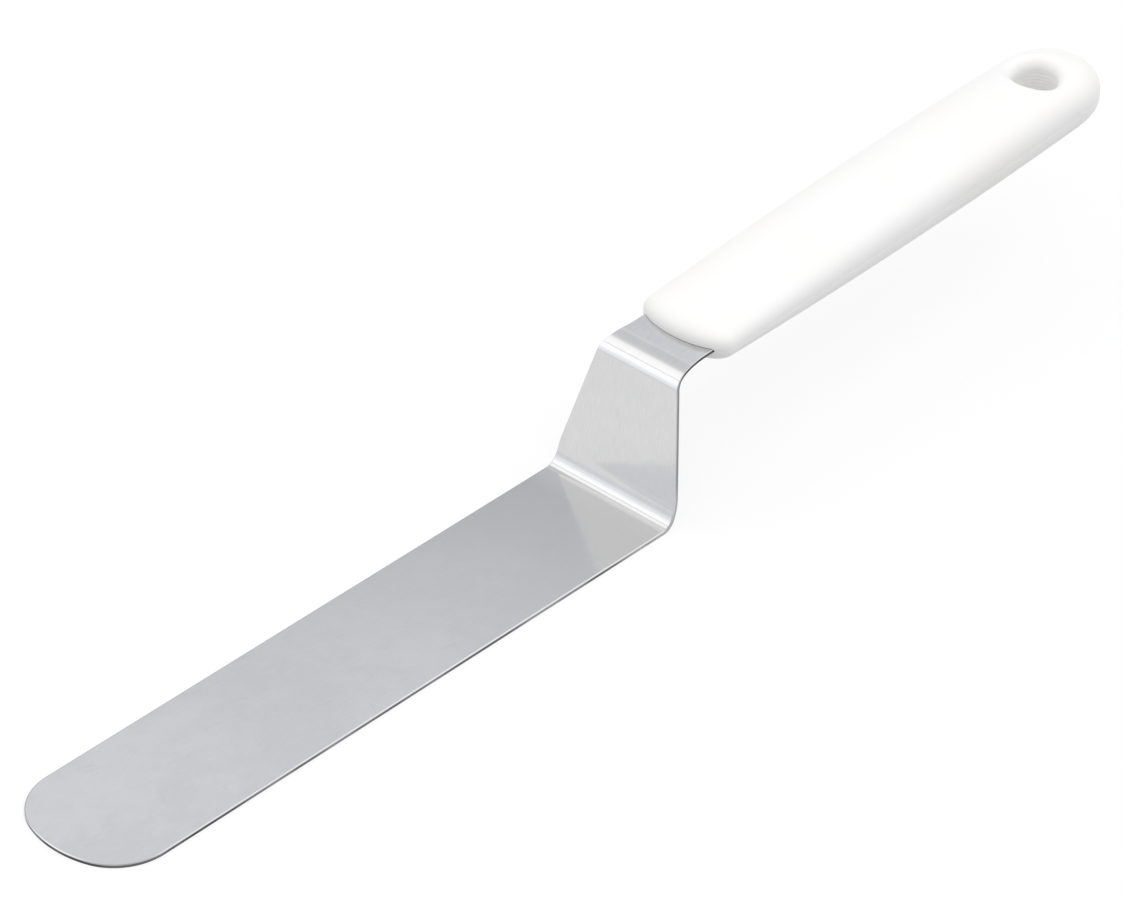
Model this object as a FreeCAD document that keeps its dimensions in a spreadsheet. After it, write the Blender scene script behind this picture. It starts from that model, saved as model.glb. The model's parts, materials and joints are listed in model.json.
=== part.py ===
import FreeCAD, Part
import math
import os
import Sketcher

# Cranked palette knife: one bent sheet of spring steel whose tang is held between the two
# halves of a hollow plastic handle.
#
# The knife lies on its blade. X runs from the tip (-X) to the end of the handle (+X), Y is
# across and Z is up. The origin is the middle of the blade's flat underside.
# The handle is built along its own axis: s is the distance behind the nose, and height 0 is
# the parting plane of the two shells. It is then tilted and lifted onto the tang.

# name, millimetres or degrees, what it is
SIZES = [
    ("blade_length", 156.3, "tip to the line where the blade and riser planes meet"),
    ("blade_width", 33.0, "width of the blade, the same all along"),
    ("sheet_thickness", 0.9, "thickness of the steel sheet"),
    ("tip_end_radius", 23.8, "radius of the blunt arc across the tip"),
    ("tip_corner_radius", 12.9, "radius of the arc that joins the tip to each side"),
    ("riser_angle", 75.7, "slope of the riser above the blade"),
    ("rise", 30.1, "height of the tang above the blade at the upper corner"),
    ("lower_bend_radius", 3.4, "inside radius of the bend between blade and riser"),
    ("upper_bend_radius", 2.8, "inside radius of the tight part of the upper bend"),
    ("upper_ease_radius", 11.0, "radius of the easy curve from that bend into the tang"),
    ("upper_ease_angle", 26.0, "slope at which the tight bend becomes the easy curve"),
    ("taper_start", 4.3, "height at which the riser starts to narrow"),
    ("riser_top_width", 23.0, "width of the riser where the upper bend starts"),
    ("flare_drop", 3.2, "upper corner down the riser to where the flare starts"),
    ("flare_run", 7.0, "upper corner along the tang to where its sides run parallel"),
    ("tang_width", 18.9, "width of the tang where it enters the handle"),
    ("tang_exposed", 9.6, "tang from the upper corner to the nose of the handle"),
    ("tang_hidden", 58.0, "tang inside the handle"),
    ("tang_hidden_width", 17.0, "width of the tang inside the handle"),
    ("tang_end_chamfer", 3.0, "cut corners at the hidden end of the tang"),
    ("shoulder_start", 3.8, "nose to where the tang starts to narrow"),
    ("shoulder_end", 7.0, "nose to where the tang has its hidden width"),
    ("trim_allowance", 3.0, "spare strip all round, which the outline trims away"),
    ("handle_pitch", 2.4, "slope of the tang and the handle above the blade"),
    ("handle_length", 130.9, "nose to end of the handle"),
    ("nose_round", 5.0, "length of the rounded nose"),
    ("nose_width", 23.7, "handle width behind the nose"),
    ("nose_depth", 9.8, "handle thickness behind the nose"),
    ("belly_from_nose", 68.0, "nose to the fullest section"),
    ("belly_width", 24.7, "handle width at the fullest section"),
    ("belly_depth", 14.6, "handle thickness at the fullest section"),
    ("end_round", 11.6, "length of the rounded end"),
    ("end_width", 23.5, "handle width before the rounded end"),
    ("end_depth", 14.6, "handle thickness before the rounded end"),
    ("shell_wall", 2.2, "wall of the two shells"),
    ("hang_radius", 5.0, "radius of the hang hole"),
    ("hang_from_end", 15.5, "axis of the hang hole to the end of the handle"),
    ("hang_straight", 9.8, "length of the hang hole between its two countersinks"),
    ("hang_wall", 2.0, "wall of the tube round the hang hole"),
    ("rib_first", 10.0, "nose to the first rib"),
    ("rib_pitch", 22.0, "spacing of the ribs, with the pins half way between"),
    ("rib_thickness", 1.6, "thickness of each rib"),
    ("pin_radius", 2.0, "radius of the locating pins that pass through the tang"),
    ("pin_height", 3.6, "how far the pins stand above the parting plane"),
    ("boss_wall", 1.8, "wall of the boss round each pin"),
    ("pin_clearance", 0.1, "gap round and above each pin in its socket"),
    ("tang_hole_clearance", 0.2, "gap round each pin in the tang"),
    ("slot_clearance", 0.2, "gap round the tang in the handle"),
    ("tongue_inset", 0.8, "outer skin to the tongue along the joint"),
    ("tongue_thickness", 0.6, "thickness of the tongue"),
    ("tongue_height", 0.8, "height of the tongue"),
    ("tongue_clearance", 0.1, "gap round the tongue in its groove"),
]
RIB_COUNT = 5
PIN_COUNT = 2

# Places and lengths worked out from the sizes, as expressions
SHEET_MIDDLE = "Sizes.sheet_thickness / 2"
BLADE_HALF = "Sizes.blade_width / 2"
CREASE_X = "Sizes.blade_length / 2"
STRIP_REACH = f"({CREASE_X} + Sizes.trim_allowance)"
CORNER_X = f"({CREASE_X} + Sizes.rise / tan(Sizes.riser_angle))"
CORNER_Z = f"({SHEET_MIDDLE} + Sizes.rise)"
LOW_RADIUS = f"(Sizes.lower_bend_radius + {SHEET_MIDDLE})"
TOP_RADIUS = f"(Sizes.upper_bend_radius + {SHEET_MIDDLE})"
TIGHT_TURN = "(Sizes.riser_angle - Sizes.upper_ease_angle)"
TANG_RUN = "(Sizes.tang_exposed + Sizes.tang_hidden + Sizes.trim_allowance)"
FLARE_X = f"({CORNER_X} - Sizes.flare_drop * cos(Sizes.riser_angle))"
TAPER_TOP_Z = (f"({CORNER_Z} - Sizes.flare_drop * sin(Sizes.riser_angle)"
               f" - {SHEET_MIDDLE} / cos(Sizes.riser_angle))")
NOSE_X = f"({CORNER_X} + Sizes.tang_exposed * cos(Sizes.handle_pitch))"
NOSE_Z = f"({CORNER_Z} + Sizes.tang_exposed * sin(Sizes.handle_pitch))"
SLOT_HALF = f"({SHEET_MIDDLE} + Sizes.slot_clearance)"
HANG_S = "(Sizes.handle_length - Sizes.hang_from_end)"
END_S = "(Sizes.handle_length - Sizes.end_round)"
OVERCUT = "Sizes.belly_width"

START, END, CENTRE = range(1, 4)
H_AXIS = -1
ORIGIN = -1
UP = FreeCAD.Vector(0, 0, 1)
ACROSS = FreeCAD.Rotation(FreeCAD.Vector(1, 1, 1), 120)
TOWARDS_NOSE = FreeCAD.Rotation(UP, 90)
TOWARDS_END = FreeCAD.Rotation(UP, -90)
LEVEL = FreeCAD.Rotation()
UPSIDE_DOWN = FreeCAD.Rotation(FreeCAD.Vector(1, 0, 0), 180)

document = FreeCAD.newDocument("PaletteKnife")


def make_sheet():
    """The table of driving sizes: name, number and meaning, with the name as alias."""
    table = document.addObject("Spreadsheet::Sheet", "Sizes")
    for row, (name, number, meaning) in enumerate(SIZES, start=1):
        table.set(f"A{row}", name)
        table.set(f"B{row}", str(number))
        table.set(f"C{row}", meaning)
        table.setAlias(f"B{row}", name)
    document.recompute()
    return table


sheet = make_sheet()


def worth(expression):
    """The number that an expression gives with the sizes as they stand in the sheet."""
    return float(sheet.evalExpression(expression))


# ---------------------------------------------------------------- sketches

def new_sketch(body, name, role):
    """An empty sketch lying on the body's own origin plane of that role."""
    sketch = body.newObject("Sketcher::SketchObject", name)
    plane = next(item for item in body.Origin.OriginFeatures if item.Role == role)
    sketch.AttachmentSupport = (plane, [""])
    sketch.MapMode = "FlatFace"
    return sketch


def line(sketch, start, end):
    segment = Part.LineSegment(FreeCAD.Vector(*start, 0), FreeCAD.Vector(*end, 0))
    return sketch.addGeometry(segment, False)


def arc(sketch, centre, radius, start_angle, end_angle):
    """An anticlockwise arc, angles in radians."""
    circle = Part.Circle(FreeCAD.Vector(*centre, 0), UP, radius)
    return sketch.addGeometry(Part.ArcOfCircle(circle, start_angle, end_angle), False)


def mark(sketch, place):
    """A construction point."""
    return sketch.addGeometry(Part.Point(FreeCAD.Vector(*place, 0)), True)


def dimension(sketch, name, expression, kind, *places):
    """A named dimension bound to the sheet, first set to what the expression gives now."""
    now = worth(expression)
    if kind == "Angle":
        now = math.radians(now)
        expression = f"({expression}) * 1deg"
    index = sketch.addConstraint(Sketcher.Constraint(kind, *places, now))
    sketch.renameConstraint(index, name)
    sketch.setExpression(f"Constraints.{name}", expression)


def hold(sketch, name, geometry, point, x_expression, y_expression):
    """Hold one point of a sketch at two expressions measured from the origin."""
    dimension(sketch, f"{name}_x", x_expression, "DistanceX", ORIGIN, START, geometry, point)
    dimension(sketch, f"{name}_y", y_expression, "DistanceY", ORIGIN, START, geometry, point)


def constrain(sketch, kind, *groups):
    """The same geometric constraint on several groups of places."""
    for places in groups:
        sketch.addConstraint(Sketcher.Constraint(kind, *places))


def run_through(sketch, name, corners):
    """Straight sides through corners given as pairs of expressions, each corner held."""
    guesses = [(worth(x), worth(y)) for x, y in corners]
    sides = [line(sketch, here, there) for here, there in zip(guesses, guesses[1:])]
    for before, after in zip(sides, sides[1:]):
        constrain(sketch, "Coincident", (before, END, after, START))
    for number, (x, y) in enumerate(corners[:-1]):
        hold(sketch, f"{name}_{number}", sides[number], START, x, y)
    hold(sketch, f"{name}_{len(sides)}", sides[-1], END, *corners[-1])
    return sides


def closed_outline(sketch, name, corners):
    """A closed outline of straight sides through corners given as pairs of expressions."""
    sides = run_through(sketch, name, corners)
    closing = line(sketch, (worth(corners[-1][0]), worth(corners[-1][1])),
                   (worth(corners[0][0]), worth(corners[0][1])))
    constrain(sketch, "Coincident", (sides[-1], END, closing, START), (closing, END, sides[0], START))


def cut_through(body, name, sketch):
    """Cut the sketch's regions right through the body, both ways from its plane."""
    document.recompute()
    before = body.Shape.Volume
    pocket = body.newObject("PartDesign::Pocket", name)
    pocket.Profile = sketch
    pocket.Type = "ThroughAll"
    pocket.SideType = "Symmetric"
    document.recompute()
    if not body.Shape.Volume < before:
        raise RuntimeError(f"{name} cuts nothing")


# ---------------------------------------------------------------- blade

def bend_path(body):
    """The middle line of the bent sheet, seen from the side: blade, riser, tang."""
    sketch = new_sketch(body, "BendPath", "XZ_Plane")
    slope = math.radians(worth("Sizes.riser_angle"))
    ease = math.radians(worth("Sizes.upper_ease_angle"))
    pitch = math.radians(worth("Sizes.handle_pitch"))
    low_radius = worth(LOW_RADIUS)
    top_radius = worth(TOP_RADIUS)
    ease_radius = worth("Sizes.upper_ease_radius")
    crease = (worth(CREASE_X), worth(SHEET_MIDDLE))
    corner = (worth(CORNER_X), worth(CORNER_Z))
    run = worth(TANG_RUN)
    low_cut = low_radius * math.tan(slope / 2)
    top_cut = (top_radius * (math.cos(ease - pitch) - math.cos(slope - pitch))
               + ease_radius * (1 - math.cos(ease - pitch))) / math.sin(slope - pitch)

    low_centre = (crease[0] - low_cut, crease[1] + low_radius)
    low_end = (crease[0] + low_cut * math.cos(slope), crease[1] + low_cut * math.sin(slope))
    top_start = (corner[0] - top_cut * math.cos(slope), corner[1] - top_cut * math.sin(slope))
    top_centre = (top_start[0] + top_radius * math.sin(slope),
                  top_start[1] - top_radius * math.cos(slope))
    ease_centre = (top_centre[0] + (ease_radius - top_radius) * math.sin(ease),
                   top_centre[1] - (ease_radius - top_radius) * math.cos(ease))
    ease_end = (ease_centre[0] - ease_radius * math.sin(pitch),
                ease_centre[1] + ease_radius * math.cos(pitch))
    tang_end = (corner[0] + run * math.cos(pitch), corner[1] + run * math.sin(pitch))

    quarter = math.pi / 2
    blade = line(sketch, (-worth(STRIP_REACH), crease[1]), (low_centre[0], crease[1]))
    low_bend = arc(sketch, low_centre, low_radius, -quarter, slope - quarter)
    riser = line(sketch, low_end, top_start)
    top_bend = arc(sketch, top_centre, top_radius, quarter + ease, quarter + slope)
    ease_bend = arc(sketch, ease_centre, ease_radius, quarter + pitch, quarter + ease)
    tang = line(sketch, ease_end, tang_end)
    crease_mark = mark(sketch, crease)
    corner_mark = mark(sketch, corner)

    constrain(sketch, "Horizontal", (blade,))
    constrain(sketch, "Tangent",
              (blade, END, low_bend, START),
              (low_bend, END, riser, START),
              (riser, END, top_bend, END),
              (top_bend, START, ease_bend, END),
              (ease_bend, START, tang, START))
    constrain(sketch, "PointOnObject",
              (crease_mark, START, blade),
              (crease_mark, START, riser),
              (corner_mark, START, riser),
              (corner_mark, START, tang))
    dimension(sketch, "strip_reach", STRIP_REACH, "DistanceX", blade, START, ORIGIN, START)
    dimension(sketch, "middle", SHEET_MIDDLE, "DistanceY", ORIGIN, START, blade, START)
    dimension(sketch, "crease", CREASE_X, "DistanceX", ORIGIN, START, crease_mark, START)
    dimension(sketch, "rise", "Sizes.rise", "DistanceY", crease_mark, START, corner_mark, START)
    dimension(sketch, "slope", "Sizes.riser_angle", "Angle", blade, START, riser, START)
    dimension(sketch, "pitch", "Sizes.handle_pitch", "Angle", blade, START, tang, START)
    dimension(sketch, "tight_turn", TIGHT_TURN, "Angle", top_bend)
    dimension(sketch, "low_radius", LOW_RADIUS, "Radius", low_bend)
    dimension(sketch, "top_radius", TOP_RADIUS, "Radius", top_bend)
    dimension(sketch, "ease_radius", "Sizes.upper_ease_radius", "Radius", ease_bend)
    dimension(sketch, "run", TANG_RUN, "Distance", corner_mark, START, tang, END)
    return sketch


def strip_section(body):
    """The flat end of the strip, wider than the blade by the trim allowance."""
    sketch = new_sketch(body, "StripSection", "YZ_Plane")
    sketch.setExpression("AttachmentOffset.Base.z", f"-{STRIP_REACH}")
    half = f"({BLADE_HALF} + Sizes.trim_allowance)"
    closed_outline(sketch, "section", [
        (f"-{half}", "0"),
        (half, "0"),
        (half, "Sizes.sheet_thickness"),
        (f"-{half}", "Sizes.sheet_thickness"),
    ])
    return sketch


def plan_outline(body):
    """Seen from above: round tip, parallel blade, flare and tang. What lies outside goes."""
    sketch = new_sketch(body, "PlanOutline", "XY_Plane")
    front = f"(-{STRIP_REACH} - {OVERCUT})"
    back = f"({CORNER_X} + {TANG_RUN} + {OVERCUT})"
    side = f"({BLADE_HALF} + {OVERCUT})"
    closed_outline(sketch, "frame", [
        (front, f"-{side}"), (back, f"-{side}"), (back, side), (front, side)])

    tip_radius = worth("Sizes.tip_end_radius")
    corner_radius = worth("Sizes.tip_corner_radius")
    tip_x = tip_radius - worth(CREASE_X)
    corner_y = worth(BLADE_HALF) - corner_radius
    corner_x = tip_x - math.sqrt((tip_radius - corner_radius) ** 2 - corner_y ** 2)
    turn = math.atan2(corner_y, tip_x - corner_x)
    tip = arc(sketch, (tip_x, 0), tip_radius, math.pi - turn, math.pi + turn)
    constrain(sketch, "PointOnObject", (tip, CENTRE, H_AXIS))
    dimension(sketch, "tip_radius", "Sizes.tip_end_radius", "Radius", tip)
    dimension(sketch, "tip_x", f"Sizes.tip_end_radius - {CREASE_X}",
              "DistanceX", ORIGIN, START, tip, CENTRE)

    flare_end_x = f"({CORNER_X} + Sizes.flare_run)"
    flare_sag = worth("(Sizes.riser_top_width - Sizes.tang_width) / 2")
    flare_span = worth(f"{flare_end_x} - {FLARE_X}")
    flare_radius = (flare_span ** 2 + flare_sag ** 2) / (2 * flare_sag)
    flare_turn = math.asin(flare_span / flare_radius)
    ends = []
    for name, sign in (("left", 1), ("right", -1)):
        quarter = sign * math.pi / 2
        centre = (corner_x, sign * corner_y)
        blade_y = f"{sign} * {BLADE_HALF}"
        top_y = f"{sign} * Sizes.riser_top_width / 2"
        tang_y = f"{sign} * Sizes.tang_width / 2"
        hidden_y = f"{sign} * Sizes.tang_hidden_width / 2"
        cut_y = f"{sign} * (Sizes.tang_hidden_width / 2 - Sizes.tang_end_chamfer)"

        angles = sorted((quarter, sign * (math.pi - turn)))
        corner = arc(sketch, centre, corner_radius, *angles)
        at_side, at_tip = (START, END) if sign > 0 else (END, START)
        edge = line(sketch, (corner_x, worth(blade_y)), (worth(FLARE_X), worth(blade_y)))
        constrain(sketch, "Tangent",
                  (tip, at_side, corner, at_tip),
                  (corner, at_side, edge, START))
        dimension(sketch, f"{name}_corner", "Sizes.tip_corner_radius", "Radius", corner)
        constrain(sketch, "Horizontal", (edge,))

        step = run_through(sketch, f"{name}_step", [(FLARE_X, blade_y), (FLARE_X, top_y)])
        constrain(sketch, "Coincident", (edge, END, step[0], START))

        flare_centre = (worth(flare_end_x), worth(tang_y) + sign * flare_radius)
        angles = sorted((-quarter, -quarter - sign * flare_turn))
        flare = arc(sketch, flare_centre, flare_radius, *angles)
        tang = run_through(sketch, f"{name}_tang", [
            (flare_end_x, tang_y),
            (f"{NOSE_X} + Sizes.shoulder_start * cos(Sizes.handle_pitch)", tang_y),
            (f"{NOSE_X} + Sizes.shoulder_end * cos(Sizes.handle_pitch)", hidden_y),
            (f"{NOSE_X} + (Sizes.tang_hidden - Sizes.tang_end_chamfer) * cos(Sizes.handle_pitch)",
             hidden_y),
            (f"{NOSE_X} + Sizes.tang_hidden * cos(Sizes.handle_pitch)", cut_y),
        ])
        at_riser, at_tang = (START, END) if sign > 0 else (END, START)
        constrain(sketch, "Coincident", (step[-1], END, flare, at_riser))
        constrain(sketch, "Tangent", (flare, at_tang, tang[0], START))
        ends.append(tang[-1])

    places = [(sketch.getPoint(end, END).x, sketch.getPoint(end, END).y) for end in ends]
    closing = line(sketch, *places)
    constrain(sketch, "Coincident", (ends[0], END, closing, START), (ends[1], END, closing, END))
    return sketch


def front_outline(body):
    """Seen along the blade: the riser narrows in a straight taper up to the upper bend."""
    sketch = new_sketch(body, "FrontOutline", "YZ_Plane")
    side = f"({BLADE_HALF} + 2 * {OVERCUT})"
    low = f"-{OVERCUT}"
    high = f"({CORNER_Z} + {OVERCUT})"
    closed_outline(sketch, "frame", [
        (f"-{side}", f"2 * {low}"), (side, f"2 * {low}"),
        (side, f"2 * {high}"), (f"-{side}", f"2 * {high}")])
    top = "(Sizes.riser_top_width / 2)"
    slope = f"(({BLADE_HALF} - {top}) / ({TAPER_TOP_Z} - Sizes.taper_start))"
    foot = f"({BLADE_HALF} + {slope} * (Sizes.taper_start + {OVERCUT}))"
    closed_outline(sketch, "taper", [
        (f"-{foot}", low), (foot, low), (top, TAPER_TOP_Z), (top, high),
        (f"-{top}", high), (f"-{top}", TAPER_TOP_Z)])
    return sketch


def pin_holes(body):
    """The round holes in the tang that the locating pins pass through."""
    sketch = new_sketch(body, "PinHoles", "XY_Plane")
    for number in range(PIN_COUNT):
        x = f"{NOSE_X} + {pin_s(number)} * cos(Sizes.handle_pitch)"
        radius = "Sizes.pin_radius + Sizes.tang_hole_clearance"
        circle = Part.Circle(FreeCAD.Vector(worth(x), 0, 0), UP, worth(radius))
        hole = sketch.addGeometry(circle, False)
        constrain(sketch, "PointOnObject", (hole, CENTRE, H_AXIS))
        dimension(sketch, f"hole_{number}_x", x, "DistanceX", ORIGIN, START, hole, CENTRE)
        dimension(sketch, f"hole_{number}_radius", radius, "Radius", hole)
    return sketch


def make_blade():
    """Blade, riser and tang in one: a strip swept along the bends and trimmed to outline."""
    body = document.addObject("PartDesign::Body", "Blade")
    body.Label = "blade"
    path = bend_path(body)
    section = strip_section(body)
    document.recompute()
    strip = body.newObject("PartDesign::AdditivePipe", "Strip")
    strip.Profile = section
    strip.Spine = (path, [f"Edge{number}" for number in range(1, len(path.Shape.Edges) + 1)])
    strip.Mode = "Standard"
    document.recompute()
    cut_through(body, "PlanTrim", plan_outline(body))
    cut_through(body, "FrontTrim", front_outline(body))
    cut_through(body, "PinHolesCut", pin_holes(body))
    return body


# ---------------------------------------------------------------- handle

def pin_s(number):
    """Distance behind the nose of a locating pin, half way between two ribs."""
    return f"(Sizes.rib_first + {number + 0.5} * Sizes.rib_pitch)"


def add(kind, name, rotation=LEVEL, **expressions):
    """One Part object, turned, with its sizes and its x, y and z bound to the sheet."""
    item = document.addObject(kind, name)
    item.Placement = FreeCAD.Placement(FreeCAD.Vector(), rotation)
    for key, expression in expressions.items():
        place = key in ("x", "y", "z")
        item.setExpression(f"Placement.Base.{key}" if place else key, expression)
    return item


def combine(kind, name, pieces):
    """A fuse of several objects, or a cut or common of two."""
    item = document.addObject(f"Part::{kind}", name)
    if kind == "MultiFuse":
        item.Shapes = pieces
    else:
        item.Base, item.Tool = pieces
    return item


def block(name, start, end, half_width, low, high):
    """A box from s = start to s = end, centred on the handle's axis in plan."""
    return add("Part::Box", name, Length=f"{end} - ({start})", Width=f"2 * {half_width}",
               Height=f"{high} - ({low})", x=start, y=f"-{half_width}", z=low)


def post(name, along, radius, low, high):
    """An upright cylinder on the handle's axis."""
    return add("Part::Cylinder", name, Radius=radius, Height=f"{high} - ({low})",
               x=along, z=low)


def handle_form(name, inset):
    """The handle's outer form, or one that lies inside it by an inset: an oval loft from the
    nose through the belly to the end, closed by half an ellipsoid at each end."""
    stations = [
        ("Nose", "Sizes.nose_round", "Sizes.nose_width", "Sizes.nose_depth"),
        ("Belly", "Sizes.belly_from_nose", "Sizes.belly_width", "Sizes.belly_depth"),
        ("End", END_S, "Sizes.end_width", "Sizes.end_depth"),
    ]
    ovals = [
        add("Part::Ellipse", name + station, ACROSS, x=place,
            MajorRadius=f"{width} / 2 - {inset}", MinorRadius=f"{depth} / 2 - {inset}")
        for station, place, width, depth in stations
    ]
    barrel = document.addObject("Part::Loft", name + "Barrel")
    barrel.Sections = ovals
    barrel.Solid = True
    barrel.Ruled = False
    caps = [
        add("Part::Ellipsoid", name + cap, turn, x=place, Radius1=f"{depth} / 2 - {inset}",
            Radius2=f"{width} / 2 - {inset}", Radius3=f"{length} - {inset}", Angle3="180")
        for cap, turn, length, (station, place, width, depth) in (
            ("NoseCap", TOWARDS_NOSE, "Sizes.nose_round", stations[0]),
            ("EndCap", TOWARDS_END, "Sizes.end_round", stations[2]))
    ]
    return combine("MultiFuse", name, [barrel] + caps)


def joint_band(name, outer_inset, inner_inset, low, high):
    """A band that follows the handle's outline between two insets and two heights. It stops
    short of the slot for the tang."""
    ring = combine("Cut", name + "Ring", [
        handle_form(name + "Outer", outer_inset),
        handle_form(name + "Inner", inner_inset),
    ])
    slab = block(name + "Slab", f"-{OVERCUT}", f"Sizes.handle_length + {OVERCUT}", OVERCUT,
                 low, high)
    gate = block(name + "Gate", f"-{OVERCUT}", "Sizes.shoulder_end + Sizes.slot_clearance",
                 OVERCUT, f"-{OVERCUT}", OVERCUT)
    return combine("Cut", name, [combine("Common", name + "Flat", [ring, slab]), gate])


def handle_inside():
    """What stands inside the hollow handle: ribs, pin bosses and the hang hole's tube."""
    pieces = []
    for number in range(RIB_COUNT):
        middle = f"Sizes.rib_first + {number} * Sizes.rib_pitch"
        pieces.append(block(f"Rib{number}", f"{middle} - Sizes.rib_thickness / 2",
                            f"{middle} + Sizes.rib_thickness / 2", OVERCUT,
                            f"-{OVERCUT}", OVERCUT))
    for number in range(PIN_COUNT):
        radius = "Sizes.pin_radius + Sizes.pin_clearance + Sizes.boss_wall"
        pieces.append(post(f"Boss{number}", pin_s(number), radius, f"-{OVERCUT}", OVERCUT))
    pieces.append(post("HangTube", HANG_S, "Sizes.hang_radius + Sizes.hang_wall",
                       f"-{OVERCUT}", OVERCUT))
    return combine("MultiFuse", "Inside", pieces)


def handle_openings():
    """The slot for the tang, the room for it inside, and the countersunk hang hole."""
    land = "Sizes.hang_straight / 2"
    pieces = [
        block("NoseSlot", f"-{OVERCUT}", "Sizes.shoulder_end + Sizes.slot_clearance",
              "(Sizes.tang_width / 2 + Sizes.slot_clearance)", f"-{SLOT_HALF}", SLOT_HALF),
        block("TangRoom", "0", "Sizes.tang_hidden + Sizes.slot_clearance",
              "(Sizes.tang_hidden_width / 2 + Sizes.slot_clearance)",
              f"-{SLOT_HALF}", SLOT_HALF),
        post("HangBore", HANG_S, "Sizes.hang_radius", f"-{OVERCUT}", OVERCUT),
    ]
    for name, turn, height in (("HangRimTop", LEVEL, land), ("HangRimBase", UPSIDE_DOWN, f"-{land}")):
        pieces.append(add("Part::Cone", name, turn, x=HANG_S, z=height, Height=OVERCUT,
                          Radius1="Sizes.hang_radius",
                          Radius2=f"Sizes.hang_radius + {OVERCUT}"))
    return combine("MultiFuse", "Openings", pieces)


def make_shells():
    """Both halves of the handle, parted at the tang's middle plane: the lower one carries the
    pins and the tongue, the upper one the sockets and the groove."""
    cavity = combine("Cut", "Cavity", [handle_form("Hollow", "Sizes.shell_wall"), handle_inside()])
    walls = combine("Cut", "Walls", [handle_form("Outside", "0"), cavity])
    handle = combine("Cut", "WholeHandle", [walls, handle_openings()])
    reach = f"Sizes.handle_length + {OVERCUT}"
    above = block("Above", f"-{OVERCUT}", reach, OVERCUT, "0", OVERCUT)
    below = block("Below", f"-{OVERCUT}", reach, OVERCUT, f"-{OVERCUT}", "0")

    groove = joint_band("Groove", "(Sizes.tongue_inset - Sizes.tongue_clearance)",
                        "(Sizes.tongue_inset + Sizes.tongue_thickness + Sizes.tongue_clearance)",
                        "-Sizes.tongue_height",
                        "Sizes.tongue_height + Sizes.tongue_clearance")
    tongue = joint_band("Tongue", "Sizes.tongue_inset",
                        "(Sizes.tongue_inset + Sizes.tongue_thickness)",
                        "-Sizes.tongue_height", "Sizes.tongue_height")
    sockets = [post(f"Socket{number}", pin_s(number), "Sizes.pin_radius + Sizes.pin_clearance",
                    f"-{OVERCUT}", "Sizes.pin_height + Sizes.pin_clearance")
               for number in range(PIN_COUNT)]
    pins = [post(f"Pin{number}", pin_s(number), "Sizes.pin_radius",
                 f"-{SLOT_HALF} - Sizes.boss_wall", "Sizes.pin_height")
            for number in range(PIN_COUNT)]

    upper = combine("Cut", "UpperShell", [
        combine("Common", "UpperHalf", [handle, above]),
        combine("MultiFuse", "UpperRecesses", sockets + [groove]),
    ])
    upper.Label = "handle_upper_shell"
    lower = combine("MultiFuse", "LowerShell", [
        combine("Common", "LowerHalf", [handle, below]), tongue] + pins)
    lower.Label = "handle_lower_shell"
    for shell in (upper, lower):
        shell.setExpression(
            "Placement", f"placement(vector({NOSE_X}; 0; {NOSE_Z}); "
                         "rotation(vector(0; 1; 0); -Sizes.handle_pitch))")
    return [upper, lower]


# ---------------------------------------------------------------- model

def check(pieces):
    """Stop if any object failed, or a sub-part isn't one sound solid."""
    for item in document.Objects:
        if {"Invalid", "Error"} & set(item.State):
            raise RuntimeError(f"{item.Name} failed: {item.State}")
    for piece in pieces:
        shape = piece.Shape
        if shape.isNull() or not shape.isValid() or len(shape.Solids) != 1:
            raise RuntimeError(f"{piece.Label} isn't one valid solid")


def main():
    pieces = [make_blade()] + make_shells()
    document.recompute()
    check(pieces)
    os.makedirs("parts", exist_ok=True)
    for piece in pieces:
        piece.Shape.exportStep(f"parts/{piece.Label}.step")
        print(f"{piece.Label}: {piece.Shape.Volume:.1f} mm3")


main()
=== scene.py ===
import json

import bmesh
import bpy
import numpy as np
from bpy.props import FloatProperty, FloatVectorProperty, PointerProperty
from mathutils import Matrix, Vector


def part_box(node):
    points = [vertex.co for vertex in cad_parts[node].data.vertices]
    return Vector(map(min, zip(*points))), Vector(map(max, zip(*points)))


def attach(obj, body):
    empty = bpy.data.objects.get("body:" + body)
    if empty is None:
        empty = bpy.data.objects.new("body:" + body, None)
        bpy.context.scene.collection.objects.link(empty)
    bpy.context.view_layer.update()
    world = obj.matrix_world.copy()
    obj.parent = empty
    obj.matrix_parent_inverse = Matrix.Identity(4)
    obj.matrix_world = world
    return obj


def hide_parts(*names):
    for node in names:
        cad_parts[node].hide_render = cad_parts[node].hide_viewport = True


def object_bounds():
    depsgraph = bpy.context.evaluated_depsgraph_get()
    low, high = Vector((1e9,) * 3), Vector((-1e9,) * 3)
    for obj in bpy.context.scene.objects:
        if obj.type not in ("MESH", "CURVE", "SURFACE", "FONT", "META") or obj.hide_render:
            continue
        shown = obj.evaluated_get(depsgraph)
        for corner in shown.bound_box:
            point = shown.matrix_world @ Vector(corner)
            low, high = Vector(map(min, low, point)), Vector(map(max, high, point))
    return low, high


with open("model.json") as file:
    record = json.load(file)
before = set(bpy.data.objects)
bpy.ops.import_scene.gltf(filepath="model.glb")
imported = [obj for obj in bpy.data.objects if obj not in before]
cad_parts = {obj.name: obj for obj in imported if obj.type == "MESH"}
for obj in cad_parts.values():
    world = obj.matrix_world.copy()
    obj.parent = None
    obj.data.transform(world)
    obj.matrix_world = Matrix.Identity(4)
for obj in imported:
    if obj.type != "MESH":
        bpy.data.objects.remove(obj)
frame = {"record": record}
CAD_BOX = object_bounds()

bl_info = {
    "name": "Cranked palette knife",
    "version": (1, 0, 0),
    "blender": (4, 5, 0),
    "location": "3D View > Sidebar > Palette knife",
    "description": "A bent sheet of spring steel in a white two-part plastic handle",
    "category": "Add Mesh",
}

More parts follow.
